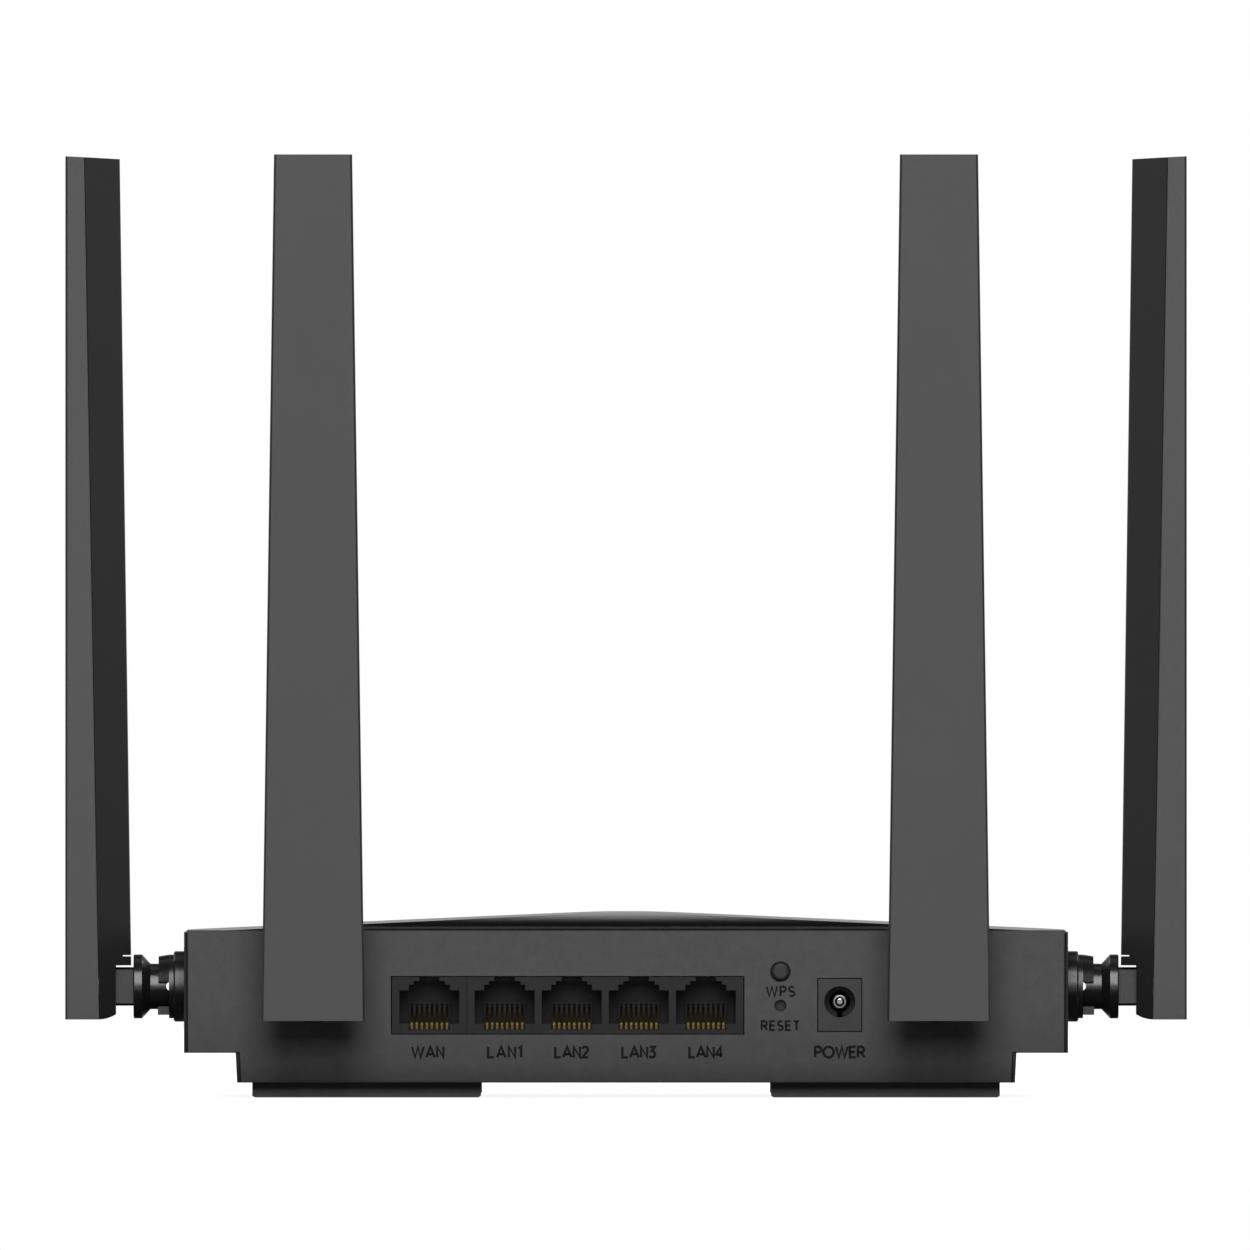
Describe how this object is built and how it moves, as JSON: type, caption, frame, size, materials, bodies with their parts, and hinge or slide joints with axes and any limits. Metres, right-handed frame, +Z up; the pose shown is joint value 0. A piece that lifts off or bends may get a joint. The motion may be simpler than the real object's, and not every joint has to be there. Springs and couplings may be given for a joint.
{
  "type": "wireless router",
  "caption": "Wireless router with folding, turning blade antennas, network sockets, a barrel power inlet and two push buttons on its back panel.",
  "frame": {"origin": "under the middle of the case, on the surface the feet stand on", "axes": "+Z up, +X to the right seen from the front, -Y the front edge with the lights, +Y the connector panel"},
  "size_m": [0.2304, 0.1445, 0.1933],
  "materials": {
    "case_plastic": "fine matte texture",
    "lid_plastic": "satin to gloss black",
    "panel_plastic": "fine matte texture",
    "foot_rubber": "matte",
    "screw_steel": "zinc plated",
    "board_laminate": "solder mask",
    "jack_plastic": "moulded",
    "gilt_contact": "gilt",
    "contact_steel": "bright plated",
    "button_plastic": "moulded",
    "chip_epoxy": "moulded epoxy",
    "pad_silicone": "soft",
    "sink_aluminium": "anodised",
    "shield_tin": "tinned",
    "can_aluminium": "sleeved can",
    "led_lens": "clear lens",
    "light_guide": "clear acrylic",
    "swivel_plastic": "polished black",
    "blade_plastic": "fine matte texture",
    "lead_jacket": "extruded jacket"
  },
  "bodies": {
    "case": {"bottom_case": "case_plastic", "top_cover": "lid_plastic", "rear_panel": "panel_plastic", "rubber_feet": "foot_rubber", "case_screws": "screw_steel", "main_board": "board_laminate", "board_screws": "screw_steel", "wan_jack": "jack_plastic", "lan_jack": "jack_plastic", "port_contacts": "gilt_contact", "dc_jack": "jack_plastic", "dc_contacts": "contact_steel", "button_board": "board_laminate", "push_switches": "jack_plastic", "chips": "chip_epoxy", "thermal_pad": "pad_silicone", "heat_sink": "sink_aluminium", "rf_shields": "shield_tin", "lan_transformers": "chip_epoxy", "capacitors": "can_aluminium", "status_leds": "led_lens", "light_pipe": "light_guide", "side_right_socket": "swivel_plastic", "side_right_case_lead": "lead_jacket", "side_left_socket": "swivel_plastic", "side_left_case_lead": "lead_jacket", "rear_right_socket": "swivel_plastic", "rear_right_case_lead": "lead_jacket", "rear_left_socket": "swivel_plastic", "rear_left_case_lead": "lead_jacket"},
    "wps": {"wps_button": "button_plastic"},
    "reset": {"reset_plunger": "button_plastic"},
    "side_right_elbow": {"side_right_swivel": "swivel_plastic", "side_right_pins": "screw_steel", "side_right_swivel_lead": "lead_jacket"},
    "side_right_antenna": {"side_right_blade": "blade_plastic", "side_right_cover": "blade_plastic", "side_right_radiator": "board_laminate", "side_right_blade_lead": "lead_jacket"},
    "side_left_elbow": {"side_left_swivel": "swivel_plastic", "side_left_pins": "screw_steel", "side_left_swivel_lead": "lead_jacket"},
    "side_left_antenna": {"side_left_blade": "blade_plastic", "side_left_cover": "blade_plastic", "side_left_radiator": "board_laminate", "side_left_blade_lead": "lead_jacket"},
    "rear_right_elbow": {"rear_right_swivel": "swivel_plastic", "rear_right_pins": "screw_steel", "rear_right_swivel_lead": "lead_jacket"},
    "rear_right_antenna": {"rear_right_blade": "blade_plastic", "rear_right_cover": "blade_plastic", "rear_right_radiator": "board_laminate", "rear_right_blade_lead": "lead_jacket"},
    "rear_left_elbow": {"rear_left_swivel": "swivel_plastic", "rear_left_pins": "screw_steel", "rear_left_swivel_lead": "lead_jacket"},
    "rear_left_antenna": {"rear_left_blade": "blade_plastic", "rear_left_cover": "blade_plastic", "rear_left_radiator": "board_laminate", "rear_left_blade_lead": "lead_jacket"}
  },
  "joints": [
    {"name": "side_right_turn", "type": "hinge", "parent": "case", "child": "side_right_elbow", "pos_m": [0.0907, 0.03, 0.02262], "axis": [1, 0, 0], "range_deg": [-90, 90]},
    {"name": "side_right_fold", "type": "hinge", "parent": "side_right_elbow", "child": "side_right_antenna", "pos_m": [0.10842, 0.03, 0.02262], "axis": [0, 1, 0], "range_deg": [0, 90]},
    {"name": "side_left_turn", "type": "hinge", "parent": "case", "child": "side_left_elbow", "pos_m": [-0.0907, 0.03, 0.02262], "axis": [-1, 0, 0], "range_deg": [-90, 90]},
    {"name": "side_left_fold", "type": "hinge", "parent": "side_left_elbow", "child": "side_left_antenna", "pos_m": [-0.10842, 0.03, 0.02262], "axis": [0, -1, 0], "range_deg": [0, 90]},
    {"name": "rear_right_turn", "type": "hinge", "parent": "case", "child": "rear_right_elbow", "pos_m": [0.06407, 0.06, 0.02262], "axis": [0, 1, 0], "range_deg": [-35, 90]},
    {"name": "rear_right_fold", "type": "hinge", "parent": "rear_right_elbow", "child": "rear_right_antenna", "pos_m": [0.06407, 0.07772, 0.02262], "axis": [-1, 0, 0], "range_deg": [0, 90]},
    {"name": "rear_left_turn", "type": "hinge", "parent": "case", "child": "rear_left_elbow", "pos_m": [-0.06407, 0.06, 0.02262], "axis": [0, 1, 0], "range_deg": [-90, 35]},
    {"name": "rear_left_fold", "type": "hinge", "parent": "rear_left_elbow", "child": "rear_left_antenna", "pos_m": [-0.06407, 0.07772, 0.02262], "axis": [-1, 0, 0], "range_deg": [0, 90]},
    {"name": "wps_press", "type": "slide", "parent": "case", "child": "wps", "axis": [0, -1, 0], "range_m": [0, 0.0004], "stiffness_N_per_m": 1500, "springref_m": -0.0005},
    {"name": "reset_press", "type": "slide", "parent": "case", "child": "reset", "axis": [0, -1, 0], "range_m": [0, 0.0004], "stiffness_N_per_m": 1500, "springref_m": -0.0005}
  ]
}
